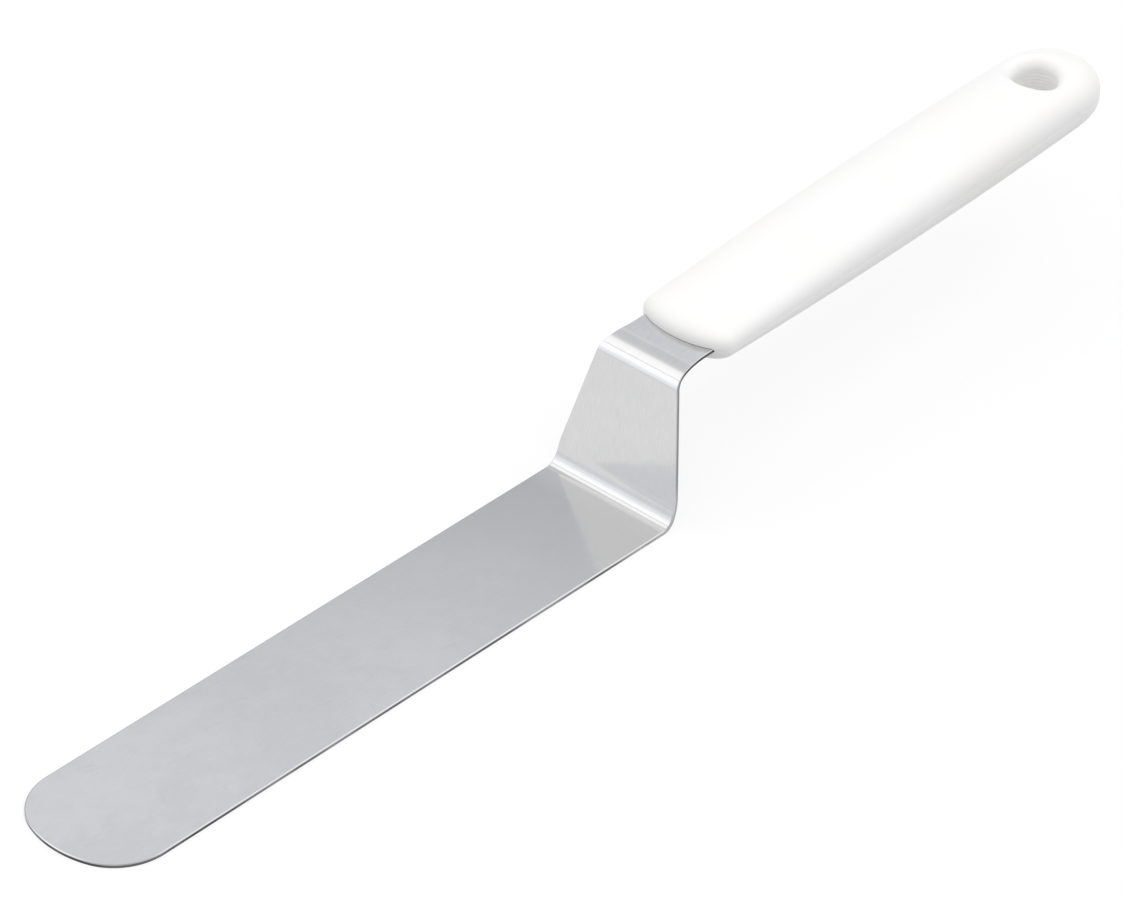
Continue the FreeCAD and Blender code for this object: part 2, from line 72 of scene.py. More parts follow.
# The knife lies on its blade: X runs from the tip to the end of the handle, Y is across and
# Z is up. Lengths are metres and angles radians, unless a name says otherwise.
MM = 0.001
BODY = "root"
WHITE = (1.0, 1.0, 1.0, 1.0)
MOUNTS = {mount["name"]: mount for mount in frame["record"]["mounts"]}
HANG_CENTRE = np.array(MOUNTS["hang_hole"]["pos_m"])
HANG_AXIS = np.array(MOUNTS["hang_hole"]["axis"])
HANG_RADIUS = MOUNTS["hang_hole"]["dims"]["r_mm"] * MM
HANDLE_PITCH = float(np.arcsin(-HANG_AXIS[0]))
BLADE_LOW, BLADE_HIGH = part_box("blade")
# directions in the studio, in degrees: azimuth from +X and elevation above the floor
KEY_DIRECTION = (238.0, 66.0)
FILL_DIRECTION = (325.0, 64.0)
BEHIND_AZIMUTH = 43.0
FRONT_AZIMUTH = 223.0
# soft panels: the direction of the middle, the cosines of the angles from it at which the
# glow starts and is full, and the glow
PANELS = (
    ((139.0, 30.0), 0.893, 0.925, 0.46),
    ((113.0, 53.0), 0.85, 0.97, 0.17),
    ((93.0, 57.0), 0.976, 0.992, 0.35),
    ((350.0, 38.0), 0.80, 0.95, 0.13),
    ((339.0, 48.0), 0.94, 0.975, 0.50),
)


# ---------------------------------------------------------------- sizes and colours

def length(name, default_mm, description):
    """A size in millimetres as a scene length."""
    return FloatProperty(name=name, description=description, default=default_mm * MM,
                         min=0.0, unit="LENGTH", precision=5)


def angle(name, default_degrees, description):
    """An angle in degrees as a scene rotation."""
    return FloatProperty(name=name, description=description, unit="ROTATION",
                         default=float(np.radians(default_degrees)))


def share(name, default, description):
    """A plain number from 0 to 1."""
    return FloatProperty(name=name, description=description, default=default,
                         min=0.0, max=1.0, subtype="FACTOR")


def power(name, default, description):
    """The exponent of a rounded form."""
    return FloatProperty(name=name, description=description, default=default, min=1.0)


def colour(name, default, description):
    """A linear colour."""
    return FloatVectorProperty(name=name, description=description, default=default,
                               size=3, min=0.0, max=1.0, subtype="COLOR")


class BladeSizes(bpy.types.PropertyGroup):
    """The steel sheet: blade, riser and tang."""
    blade_length: length("Blade length", 156.3, "Tip to the crease below the riser")
    blade_width: length("Blade width", (BLADE_HIGH.y - BLADE_LOW.y) / MM, "Width of the blade")
    thickness: length("Thickness", 0.9, "Thickness of the sheet")
    tip_end_radius: length("Tip radius", 23.8, "Radius of the blunt arc across the tip")
    tip_corner_radius: length("Tip corner radius", 12.9, "Radius from the tip to each side")
    top_rounding: length("Upper edge rounding", 0.28, "Polished rounding above the edge")
    base_rounding: length("Lower edge rounding", 0.08, "Rounding below the blade's edge")
    bent_top_rounding: length("Bent upper rounding", 0.14, "Upper rounding past the bend")
    bent_base_rounding: length("Bent lower rounding", 0.20, "Lower rounding past the bend")
    riser_angle: angle("Riser slope", 75.7, "Slope of the riser above the blade")
    rise: length("Rise", 30.1, "Height of the tang above the blade at the upper corner")
    low_radius: length("Lower bend", 3.4, "Radius of the lower bend at mid thickness")
    low_ease_radius: length("Lower ease", 14.0, "Radius of the easy curve into the riser")
    low_ease_angle: angle("Lower ease slope", 63.0, "Slope where the lower easy curve starts")
    top_radius: length("Upper bend", 2.9, "Radius of the upper bend at mid thickness")
    ease_radius: length("Upper ease", 11.0, "Radius of the easy curve into the tang")
    ease_angle: angle("Ease slope", 26.0, "Slope where the upper bend becomes the easy curve")
    riser_top_width: length("Riser top width", 22.2, "Width of the riser below the upper bend")
    tang_width: length("Tang width", 18.9, "Width of the tang where it enters the handle")
    tang_hidden_width: length("Hidden width", 17.0, "Width of the tang inside the handle")
    tang_exposed: length("Tang exposed", 9.6, "Upper corner to the nose of the handle")
    tang_hidden: length("Tang hidden", 58.0, "Tang inside the handle")


class HandleSizes(bpy.types.PropertyGroup):
    """The two plastic shells."""
    handle_length: length("Length", 130.86, "Nose to end of the handle")
    hang_from_end: length("Hole from end", 15.46, "Axis of the hang hole to the end")
    nose_place: length("Nose place", 7.0, "Nose to the first section")
    nose_width: length("Nose width", 24.1, "Width of the first section")
    nose_depth: length("Nose depth", 9.4, "Thickness of the first section")
    belly_place: length("Belly place", 68.0, "Nose to the middle section")
    belly_width: length("Belly width", 24.86, "Width of the middle section")
    belly_depth: length("Belly depth", 14.6, "Thickness of the middle section")
    end_place: length("End place", 118.0, "Nose to the last section")
    end_width: length("End width", 23.6, "Width of the last section")
    end_depth: length("End depth", 14.3, "Thickness of the last section")
    nose_round: length("Nose rounding", 5.6, "Length of the rounded nose")
    end_round: length("End rounding", 16.5, "Length of the rounded end")
    side_power: power("Side fullness", 2.0, "How full the outline is, 2 for an ellipse")
    top_power: power("Top fullness", 2.7, "How full the section is, 2 for an ellipse")
    nose_power: power("Nose fullness", 2.22, "How blunt the nose is, 2 for an ellipse")
    end_power: power("End fullness", 3.26, "How blunt the end is, 2 for an ellipse")
    wall: length("Wall", 2.2, "Wall of the shells")
    upper_lip: length("Upper lip", 0.04, "Rounding of the upper shell along the seam")
    lower_lip: length("Lower lip", 0.16, "Rounding of the lower shell along the seam")
    slot_clearance: length("Slot clearance", 0.05, "Gap round the tang in the nose")
    rim_radius: length("Hole rim", 2.5, "Rounding of the hang hole's rims")
    ridge_pitch: length("Ridge pitch", 0.85, "Spacing of the moulding rings in the hang hole")
    ridge_depth: length("Ridge depth", 0.08, "Depth of the moulding rings")


class Finishes(bpy.types.PropertyGroup):
    """Colours and gloss of the two materials."""
    steel: colour("Steel", (0.672, 0.672, 0.672), "Bright rolled steel")
    # the sheared edge's colours are partly its own rough, dull finish and partly painted shade:
    # the darkest stands in for the contact shadow and the dim surroundings that the edge
    # reflects
    edge_dark: colour("Edge, dark", (0.07, 0.07, 0.072), "Sheared edge where it is darkest")
    edge_light: colour("Edge, light", (0.42, 0.42, 0.43), "Sheared edge where it is dressed")
    steel_roughness: share("Steel roughness", 0.09, "Roughness of the polished faces")
    plastic: colour("Plastic", (0.92, 0.916, 0.902), "White moulded plastic")
    plastic_roughness: share("Plastic roughness", 0.33, "Roughness of the moulded skin")


class StageSizes(bpy.types.PropertyGroup):
    """Floor, light and camera."""
    view_azimuth: angle("View azimuth", -46.69, "Camera round the knife from the -Y side")
    view_elevation: angle("View elevation", 35.605, "Camera above the floor")
    view_distance: length("View distance", 1186.3, "Camera to the middle of the knife")
    slide_right: FloatProperty(name="Slide right", default=-8.02 * MM, unit="LENGTH",
                               description="Camera moved to its own right")
    slide_up: FloatProperty(name="Slide up", default=-6.11 * MM, unit="LENGTH",
                            description="Camera moved along its own up")
    lens_mm: FloatProperty(name="Lens", default=187.70, min=1.0, unit="CAMERA",
                           description="Focal length on a 36 mm wide sensor")
    floor_size: length("Floor size", 9000.0, "Side of the square floor")
    lamp_distance: length("Lamp distance", 1500.0, "Soft lamps to the middle of the knife")
    lamp_width: length("Lamp width", 1150.0, "Width of each soft lamp")
    lamp_height: length("Lamp height", 950.0, "Height of each soft lamp")
    key_power: FloatProperty(name="Key power", default=4.5, min=0.0, unit="POWER",
                             description="Power of the larger soft lamp")
    fill_power: FloatProperty(name="Fill power", default=1.9, min=0.0, unit="POWER",
                              description="Power of the soft lamp beyond the near side")


# ---------------------------------------------------------------- surfaces

def grid_faces(rows, columns, closed, first):
    """Quads between neighbours of a grid; closed joins the last column to the first one."""
    number = first + np.arange(rows * columns).reshape(rows, columns)
    if closed:
        number = np.concatenate([number, number[:, :1]], axis=1)
    corners = (number[:-1, :-1], number[1:, :-1], number[1:, 1:], number[:-1, 1:])
    return np.stack([corner.ravel() for corner in corners], axis=1)


def new_object(name, data):
    """An object with the given data, in the scene."""
    item = bpy.data.objects.new(name, data)
    bpy.context.scene.collection.objects.link(item)
    return item


def make_piece(name, grids, caps=(), attributes=None):
    """One mesh object from several grids of points, as (points, closed) pairs. Points that
    meet are merged and every face is turned outwards. caps are (grid, row) pairs: a flat
    face over that whole row. attributes are vectors for the points, grid by grid."""
    faces, starts, first = [], [], 0
    for points, closed in grids:
        rows, columns = points.shape[:2]
        starts.append(first)
        faces += grid_faces(rows, columns, closed, first).tolist()
        first += rows * columns
    for which, row in caps:
        rows, columns = grids[which][0].shape[:2]
        faces.append((starts[which] + row % rows * columns + np.arange(columns)).tolist())
    vertices = np.concatenate([points.reshape(-1, 3) for points, _ in grids])
    mesh = bpy.data.meshes.new(name)
    mesh.from_pydata(vertices.tolist(), [], faces)
    for key, values in (attributes or {}).items():
        layer = mesh.attributes.new(key, "FLOAT_VECTOR", "POINT")
        layer.data.foreach_set("vector", np.concatenate(values, axis=None).astype(np.float32))
    work = bmesh.new()
    work.from_mesh(mesh)
    bmesh.ops.remove_doubles(work, verts=work.verts, dist=0.002 * MM)
    bmesh.ops.dissolve_degenerate(work, edges=work.edges, dist=0.0001 * MM)
    bmesh.ops.recalc_face_normals(work, faces=work.faces)
    open_edges = sum(not edge.is_manifold for edge in work.edges)
    work.to_mesh(mesh)
    work.free()
    if open_edges:
        raise RuntimeError(f"{name} has {open_edges} open or doubled edges")
    mesh.shade_smooth()
    return new_object(name, mesh)


def settle(piece, material, nodes):
    """Give the piece its material and its body, in place of the CAD nodes."""
    piece.data.materials.append(material)
    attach(piece, BODY)
    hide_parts(*nodes)


# ---------------------------------------------------------------- blade

def bend_line(sizes):
    """The middle line of the sheet, as a function of the distance along it from the tip.

    Its slope is constant on the blade, the riser and the tang, and changes evenly with
    distance in each bend. X and Z are the running sums of the cosine and sine of the slope.
    Returns the distances, places, slopes and the distances where each stretch ends."""
    bent = sizes.low_ease_angle
    low_rise = (sizes.low_radius * (1 - np.cos(bent))
                + sizes.low_ease_radius * (np.cos(bent) - np.cos(sizes.riser_angle)))
    riser_cut = low_rise / np.sin(sizes.riser_angle)
    low_cut = (sizes.low_radius * np.sin(bent)
               + sizes.low_ease_radius * (np.sin(sizes.riser_angle) - np.sin(bent))
               - riser_cut * np.cos(sizes.riser_angle))
    steep, ease = sizes.riser_angle - HANDLE_PITCH, sizes.ease_angle - HANDLE_PITCH
    top_cut = (sizes.top_radius * (np.cos(ease) - np.cos(steep))
               + sizes.ease_radius * (1 - np.cos(ease))) / np.sin(steep)
    top_reach = (sizes.top_radius * (np.sin(steep) - np.sin(ease))
                 + sizes.ease_radius * np.sin(ease)) - top_cut * np.cos(steep)
    stretches = [
        (sizes.blade_length - low_cut, 0.0),
        (sizes.low_radius * bent, bent),
        (sizes.low_ease_radius * (sizes.riser_angle - bent), sizes.riser_angle),
        (sizes.rise / np.sin(sizes.riser_angle) - riser_cut - top_cut, sizes.riser_angle),
        (sizes.top_radius * (sizes.riser_angle - sizes.ease_angle), sizes.ease_angle),
        (sizes.ease_radius * ease, HANDLE_PITCH),
        (sizes.tang_exposed + sizes.tang_hidden - top_reach, HANDLE_PITCH),
    ]
    ends = np.concatenate([[0.0], np.cumsum([run for run, _ in stretches])])
    slopes = np.array([0.0] + [slope for _, slope in stretches])
    distance = np.unique(np.concatenate([np.linspace(0, ends[-1], 20001), ends]))
    slope = np.interp(distance, ends, slopes)
    step = np.diff(distance)
    middle = (slope[1:] + slope[:-1]) / 2
    x = np.concatenate([[0.0], np.cumsum(step * np.cos(middle))]) - sizes.blade_length / 2
    z = np.concatenate([[0.0], np.cumsum(step * np.sin(middle))]) + sizes.thickness / 2
    return distance, x, z, slope, ends


def blade_outline(sizes, ends):
    """Half of the sheet's outline laid out flat, as distances from the tip and half widths.

    The tip is two arcs that meet smoothly: a blunt one across the end and one into the
    straight side. Further on, the half width is straight tapers between knots, averaged
    over a short length so that they flow into each other. It loses a little through each
    bend, and steps down at the shoulders inside the handle."""
    half = sizes.blade_width / 2
    blunt, corner = sizes.tip_end_radius, sizes.tip_corner_radius
    corner_y = half - corner
    turn = np.arcsin(corner_y / (blunt - corner))
    corner_s = blunt - (blunt - corner) * np.cos(turn)
    across = np.linspace(0, turn, 20)
    round_it = np.linspace(turn, np.pi / 2, 28)[1:]
    tip_s = np.concatenate([blunt * (1 - np.cos(across)), corner_s - corner * np.cos(round_it)])
    tip_w = np.concatenate([blunt * np.sin(across), corner_y + corner * np.sin(round_it)])

    low_start, _, low_end, top_start, top_end, ease_end, last = ends[1:]
    nose = last - sizes.tang_hidden
    past_nose = nose + 8 * MM
    end_taper = 3 * MM
    stations = np.concatenate([
        np.linspace(corner_s, low_start, 24)[1:],
        np.linspace(low_start, low_end, 41)[1:],
        np.linspace(low_end, top_start, 41)[1:],
        np.linspace(top_start, top_end, 41)[1:],
        np.linspace(top_end, ease_end, 41)[1:],
        np.linspace(ease_end, past_nose, 41)[1:],
        np.linspace(past_nose, last - end_taper, 12)[1:],
        np.linspace(last - end_taper, last, 5)[1:],
    ])
    top_half, tang_half = sizes.riser_top_width / 2, sizes.tang_width / 2
    hidden_half = sizes.tang_hidden_width / 2
    lost_low, lost_high = 0.30 * MM, 0.81 * MM
    knots = np.array([
        (0.0, half),
        (low_start + 2.0 * MM, half),
        (low_end + 0.6 * MM, half - lost_low),
        (top_start + 0.4 * MM, top_half),
        (top_end + 0.6 * MM, top_half - lost_high),
        (ease_end + 2.2 * MM, tang_half),
        (nose + 3.9 * MM, tang_half),
        (nose + 7.1 * MM, hidden_half),
        (last - end_taper, hidden_half),
        (last, hidden_half - end_taper),
    ])
    flow = 1.3 * MM
    window = np.linspace(-flow, flow, 27)
    spread = np.interp(stations[:, None] + window, *knots.T).mean(axis=1)
    near_end = stations > last - 1.5 * end_taper
    widths = np.where(near_end, np.interp(stations, *knots.T), spread)
    return np.concatenate([tip_s, stations]), np.concatenate([tip_w, widths])


def edge_profile(half, top, base):
    """From the top face round the edge to the bottom face, as insets from the outline,
    heights from the middle, and how far each point is turned from a face (0) to the flat
    of the edge (1): a quarter round of radius top, a flat sheared band and a quarter round
    of radius base. Two more points on each face hold it flat beside the rounding. half is
    half the sheet's thickness."""
    near, far = 1.15, 1.6
    turn = np.linspace(0, np.pi / 2, 9)
    back = turn[::-1]
    flat = np.linspace(half - top, base - half, 5)[1:-1]
    inset = np.concatenate([[top * far, top * near], top * (1 - np.sin(turn)), 0 * flat,
                            base * (1 - np.sin(back)), [base * near, base * far]])
    height = np.concatenate([[half, half], half - top * (1 - np.cos(turn)), flat,
                             base * (1 - np.cos(back)) - half, [-half, -half]])
    turned = np.concatenate([[0, 0], np.linspace(0, 1, 9), 0 * flat + 1,
                             np.linspace(1, 0, 9), [0, 0]])
    return inset, height, turned


def blade_surface(sizes):
    """The whole sheet as one tube: at each distance from the tip, a ring across the top
    face, round one edge, back across the bottom face and round the other edge. A point
    laid out flat at distance s, side y and height t goes to the middle line's place at s,
    moved y across and t along the sheet's normal. The edge's roundings change evenly
    through the lower bend. Returns the rings, and for each point its flat place and how
    far round the edge it lies."""
    distance, x, z, slope, ends = bend_line(sizes)
    along, half = blade_outline(sizes, ends)
    past_bend = np.clip((along - ends[1]) / (ends[3] - ends[1]), 0, 1)[:, None]
    thick = sizes.thickness / 2
    inset, height, turned = edge_profile(thick, sizes.top_rounding, sizes.base_rounding)
    bent_inset, bent_height, _ = edge_profile(thick, sizes.bent_top_rounding,
                                              sizes.bent_base_rounding)
    inset = inset + (bent_inset - inset) * past_bend
    height = height + (bent_height - height) * past_bend
    run, widen = np.gradient(along), np.gradient(half)
    run[0] = 0.0
    size = np.hypot(run, widen)
    inward_s, inward_y = widen / size, -run / size
    side_s = along[:, None] + inset * inward_s[:, None]
    side_y = np.maximum(half[:, None] + inset * inward_y[:, None], 0.0)
    side_s[-1] = along[-1]

    across = np.linspace(1, -1, 26)[1:-1]
    face = np.ones_like(across)
    s = np.concatenate([side_s[:, :1] * face, side_s, side_s[:, -1:] * face,
                        side_s[:, ::-1]], axis=1)
    y = np.concatenate([side_y[:, :1] * across, -side_y, side_y[:, -1:] * -across,
                        side_y[:, ::-1]], axis=1)
    t = np.concatenate([height[:, :1] * face, height, height[:, -1:] * face,
                        height[:, ::-1]], axis=1)
    mid_x, mid_z = np.interp(s, distance, x), np.interp(s, distance, z)
    tilt = np.interp(s, distance, slope)
    points = np.stack([mid_x - t * np.sin(tilt), y, mid_z + t * np.cos(tilt)], axis=-1)

    edge = np.concatenate([0 * face, turned, 0 * face, turned[::-1]])
    place = np.stack([s, y, np.broadcast_to(edge, s.shape)], axis=-1)
    return points, place


# ---------------------------------------------------------------- handle

def handle_section(sizes, s):
    """Half width and half depth of the handle at distances s behind the nose: parabolas
    through the nose, belly and end sections."""
    places = (sizes.nose_place, sizes.belly_place, sizes.end_place)
    widths = (sizes.nose_width, sizes.belly_width, sizes.end_width)
    depths = (sizes.nose_depth, sizes.belly_depth, sizes.end_depth)
    return (np.polyval(np.polyfit(places, widths, 2), s) / 2,
            np.polyval(np.polyfit(places, depths, 2), s) / 2)


def past_barrel(sizes, s):
    """How far s lies into the rounded nose and into the rounded end, each from 0 to 1."""
    back = sizes.handle_length - sizes.end_round
    return (np.clip((sizes.nose_round - s) / sizes.nose_round, 0, 1),
            np.clip((s - back) / sizes.end_round, 0, 1))


def handle_height(sizes, s, y):
    """Height of the upper skin above the parting plane. The skin is where four shares add
    up to 1: the way into the nose, the way into the end, y over the half width and the
    height over the half depth, each raised to its own power. A power of 2 gives an
    ellipse, and a higher one a squarer form."""
    half_width, half_depth = handle_section(sizes, s)
    nose, end = past_barrel(sizes, s)
    inside = (1 - nose ** sizes.nose_power - end ** sizes.end_power
              - np.abs(y / half_width) ** sizes.side_power)
    return half_depth * np.maximum(inside, 0) ** (1 / sizes.top_power)


def rim_start(sizes, bearing):
    """Distance from the hang hole's axis at which its rounded rim leaves the skin, and the
    skin's fall there, for bearings round the axis. A ball of the rim radius touches the
    bore and the skin, so the distance grows with the skin's fall, found in a few rounds."""
    centre = sizes.handle_length - sizes.hang_from_end
    reach = np.full_like(bearing, HANG_RADIUS + sizes.rim_radius)
    small = 0.05 * MM
    for _ in range(12):
        inner, outer = [
            handle_height(sizes, centre + (reach + move) * np.cos(bearing),
                          (reach + move) * np.sin(bearing)) for move in (-small, small)]
        fall = np.arctan((inner - outer) / (2 * small))
        reach = HANG_RADIUS + sizes.rim_radius * (1 + np.sin(fall))
    return reach, fall


def plan_lines(sizes):
    """Lines that cover the handle in plan, each from an inner point to the outline.

    From the nose to the hang hole the inner points lie on the handle's spine, and then on
    the hole's rim, from where the lines fan out. The outline is the skin at height 0.
    Returns inner and outer points of one side, nose first, and the bearings of the lines
    that start at the hole."""
    centre = sizes.handle_length - sizes.hang_from_end
    back = sizes.handle_length - sizes.end_round
    nose_turn = np.linspace(0, np.pi / 2, 44)
    nose_s = sizes.nose_round * (1 - np.cos(nose_turn) ** (2 / sizes.nose_power))
    nose_y = handle_section(sizes, nose_s)[0] * np.sin(nose_turn) ** (2 / sizes.side_power)
    nose = np.stack([nose_s, nose_y], 1)
    nose_inner = np.broadcast_to([sizes.nose_round, 0.0], nose.shape)

    bearing = np.linspace(np.pi, 0, 73)
    reach, _ = rim_start(sizes, bearing)
    rim = np.stack([centre + reach * np.cos(bearing), reach * np.sin(bearing)], 1)
    fan_length = 13 * MM
    leave = centre - fan_length
    part = np.linspace(0, 1, 121)[1:-1]
    barrel_s = sizes.nose_round + part * (leave - sizes.nose_round)
    barrel = np.stack([barrel_s, handle_section(sizes, barrel_s)[0]], 1)
    spine_s = sizes.nose_round + part * (rim[0, 0] - sizes.nose_round)
    spine = np.stack([spine_s, 0 * spine_s], 1)

    rest_s = np.linspace(leave, back, 400)
    end_turn = np.linspace(0, np.pi / 2, 600)[1:]
    end_s = back + sizes.end_round * np.sin(end_turn) ** (2 / sizes.end_power)
    end_y = handle_section(sizes, end_s)[0] * np.cos(end_turn) ** (2 / sizes.side_power)
    trace_s = np.concatenate([rest_s, end_s])
    trace_y = np.concatenate([handle_section(sizes, rest_s)[0], end_y])
    trace = np.arctan2(trace_y, trace_s - centre)
    aim = bearing - (np.pi - trace[0]) * (bearing / np.pi) ** 3
    end = np.stack([np.interp(-aim, -trace, trace_s), np.interp(-aim, -trace, trace_y)], 1)
    end[-1] = (sizes.handle_length, 0.0)
    return (np.concatenate([nose_inner, spine, rim]), np.concatenate([nose, barrel, end]),
            bearing)


def both_sides(points):
    """A loop from one side's points, nose first, and their mirror images on the way back."""
    back = points[-2:0:-1] * (1, -1)
    return np.concatenate([points, back])


def shell_grids(sizes, blade, sign):
    """One half of the handle as grids of points, in the handle's own frame: distance behind
    the nose, across, and height from the parting plane, upwards (sign 1) or downwards (-1).

    The skin follows the plan lines from the spine or the hole's rim to the parting line,
    with steps that shorten towards it as a sine does. Its lip is rounded into the flat rim
    face, raised where the slot lets the tang in. The cavity is the skin moved inwards by
    the wall. At the hang hole a rounded rim, the ringed bore and the tube's wall close it."""
    inner, outer, bearing = plan_lines(sizes)
    inner, outer = both_sides(inner), both_sides(outer)
    lip = sizes.upper_lip if sign > 0 else sizes.lower_lip
    slot_height = blade.thickness / 2 + sizes.slot_clearance
    slot_half = blade.tang_width / 2 + sizes.slot_clearance
    slot_side = 0.25 * MM
    beside = np.clip((np.abs(outer[:, 1]) - slot_half) / slot_side + 0.5, 0, 1)
    in_slot = (outer[:, 0] < sizes.nose_round) * (1 - beside ** 2 * (3 - 2 * beside))
    floor = slot_height * in_slot

    low, high = np.full(len(outer), 0.3), np.ones(len(outer))
    for _ in range(40):
        middle = (low + high) / 2
        s, y = (inner + (outer - inner) * middle[:, None]).T
        above = handle_height(sizes, s, y) > floor + lip
        low, high = np.where(above, middle, low), np.where(above, high, middle)
    steps = np.sin(np.linspace(0, np.pi / 2, 41))[:, None] * low
    plan = inner + (outer - inner) * steps[:, :, None]
    skin = np.concatenate([plan, handle_height(sizes, plan[..., 0], plan[..., 1])[..., None]], 2)

    edge = skin[-1]
    along = np.roll(edge[:, :2], -1, axis=0) - np.roll(edge[:, :2], 1, axis=0)
    along /= np.linalg.norm(along, axis=1)[:, None]
    inward = np.stack([along[:, 1], -along[:, 0]], 1)
    turn = np.linspace(0, np.pi / 2, 6)[:, None]
    insets = np.concatenate([lip * (1 - np.cos(turn)), [[0.5 * sizes.wall], [sizes.wall]]])
    drops = np.concatenate([lip * np.sin(turn), [[lip], [lip]]])
    rim = np.concatenate([
        edge[None, :, :2] + insets[:, :, None] * inward,
        (edge[None, :, 2] - drops)[..., None],
    ], axis=2)

    cavity = skin_offset(sizes, plan, -sizes.wall)
    cavity[..., 2] = np.maximum(cavity[..., 2], floor)
    cavity = cavity[::4]
    cavity[-1] = rim[-1]

    hole = bore_grid(sizes, bearing, cavity[0], lip)
    grids = [(skin, True), (rim, True), (cavity, True), (hole, True)]
    return [(points * (1, 1, sign), closed) for points, closed in grids]


def skin_offset(sizes, plan, move):
    """The skin's points moved along its outward normal, which is the slope of the four
    shares that make the skin."""
    small = 0.02 * MM
    s, y = plan[..., 0], plan[..., 1]
    height = handle_height(sizes, s, y)
    half_width, half_depth = handle_section(sizes, s)
    nose, end = past_barrel(sizes, s)
    along = (sizes.end_power * end ** (sizes.end_power - 1) / sizes.end_round
             - sizes.nose_power * nose ** (sizes.nose_power - 1) / sizes.nose_round)
    across = (sizes.side_power * np.abs(y / half_width) ** (sizes.side_power - 1)
              * np.sign(y) / half_width)
    upward = (sizes.top_power * (np.maximum(height, small) / half_depth)
              ** (sizes.top_power - 1) / half_depth)
    normal = np.stack([along, across, upward], -1)
    normal /= np.linalg.norm(normal, axis=-1)[..., None]
    return np.concatenate([plan, height[..., None]], -1) + move * normal


def bore_grid(sizes, bearing, roof, lip):
    """The hang hole: a quarter round from the skin into the bore, the bore with its shallow
    moulding rings, its rounded lip at the parting plane and the tube's outer wall, which
    rises to the cavity's roof. roof is the cavity's innermost loop."""
    centre = sizes.handle_length - sizes.hang_from_end
    loop = np.concatenate([bearing, -bearing[-2:0:-1]])
    reach, fall = rim_start(sizes, loop)
    radius = sizes.rim_radius
    start = handle_height(sizes, centre + reach * np.cos(loop), reach * np.sin(loop))
    ball = start - radius * np.cos(fall)
    turn = np.linspace(0, 1, 15)[:, None]
    lean = np.pi / 2 + fall
    swing = fall - turn * lean
    rounding = (HANG_RADIUS + radius * (1 + np.sin(swing)), ball + radius * np.cos(swing))

    depth = np.linspace(0, 1, 61)[1:, None]
    wall_height = ball + (lip - ball) * depth
    fade_above, fade_below = 1.0 * MM, 0.4 * MM
    fade = np.clip(np.minimum((ball - wall_height) / fade_above,
                              (wall_height - lip) / fade_below), 0, 1)
    ring = 0.5 - 0.5 * np.cos(2 * np.pi * wall_height / sizes.ridge_pitch)
    wall = (HANG_RADIUS + sizes.ridge_depth * ring * fade, wall_height)

    lip_turn = np.linspace(0, np.pi / 2, 5)[1:, None]
    lip_round = (HANG_RADIUS + lip * (1 - np.cos(lip_turn)) + 0 * ball,
                 lip * (1 - np.sin(lip_turn)) + 0 * ball)
    # the lines of the cavity that start at the hole are the last ones of each side
    count = len(bearing)
    half = (len(roof) + 2) // 2
    near = np.concatenate([roof[half - count:half], roof[half:half + count - 2]])
    tube_reach = np.hypot(near[:, 0] - centre, near[:, 1])
    tube_bearing = np.arctan2(near[:, 1], near[:, 0] - centre)
    rise = np.linspace(0, 1, 4)[:, None]
    tube = (tube_reach + 0 * rise, near[:, 2] * rise)

    radii = np.concatenate([rounding[0], wall[0], lip_round[0], tube[0]])
    heights = np.concatenate([rounding[1], wall[1], lip_round[1], tube[1]])
    turned = np.concatenate([np.broadcast_to(loop, (len(radii) - 4, len(loop))),
                             np.broadcast_to(tube_bearing, (4, len(loop)))])
    return np.stack([centre + radii * np.cos(turned), radii * np.sin(turned), heights], -1)


def to_knife(sizes, grids):
    """Grids from the handle's frame to the knife's: the handle's axis slopes with the tang
    and passes through the hang hole's mount."""
    forward = np.array([np.cos(HANDLE_PITCH), 0, np.sin(HANDLE_PITCH)])
    up = np.array([-np.sin(HANDLE_PITCH), 0, np.cos(HANDLE_PITCH)])
    nose = HANG_CENTRE - forward * (sizes.handle_length - sizes.hang_from_end)
    axes = np.stack([forward, (0, 1, 0), up])
    return [(nose + points @ axes, closed) for points, closed in grids]


# ---------------------------------------------------------------- materials

class NodeTree:
    """Short calls to add and join the nodes of one tree."""

    def __init__(self, tree):
        self.tree = tree

    def add(self, kind, inputs=None, **settings):
        """A node with its settings, and its inputs set to values or joined to sockets."""
        node = self.tree.nodes.new(kind)
        for key, value in settings.items():
            setattr(node, key, value)
        for key, value in (inputs or {}).items():
            if isinstance(value, bpy.types.NodeSocket):
                self.tree.links.new(value, node.inputs[key])
            else:
                node.inputs[key].default_value = value
        return node

    def math(self, operation, *values):
        """The result of a Math node."""
        node = self.add("ShaderNodeMath", dict(enumerate(values)), operation=operation)
        return node.outputs[0]

    def ramp(self, value, low, high, to_low, to_high):
        """Value mapped smoothly from one range to another."""
        node = self.add("ShaderNodeMapRange", interpolation_type="SMOOTHSTEP", inputs={
            "Value": value, "From Min": low, "From Max": high,
            "To Min": to_low, "To Max": to_high})
        return node.outputs["Result"]

    def blend(self, factor, first, second):
        """Two colours mixed by a factor."""
        node = self.add("ShaderNodeMix", {0: factor, 6: first, 7: second}, data_type="RGBA")
        return node.outputs[2]

    def noise(self, place, scale, detail, roughness=0.5, dimensions="3D"):
        """The value of a Noise Texture."""
        node = self.add("ShaderNodeTexNoise", noise_dimensions=dimensions, inputs={
            "Vector": place, "Scale": scale, "Detail": detail, "Roughness": roughness})
        return node.outputs["Fac"]


def opaque(rgb):
    """A colour property as the four numbers of a colour socket."""
    return (*rgb, 1.0)


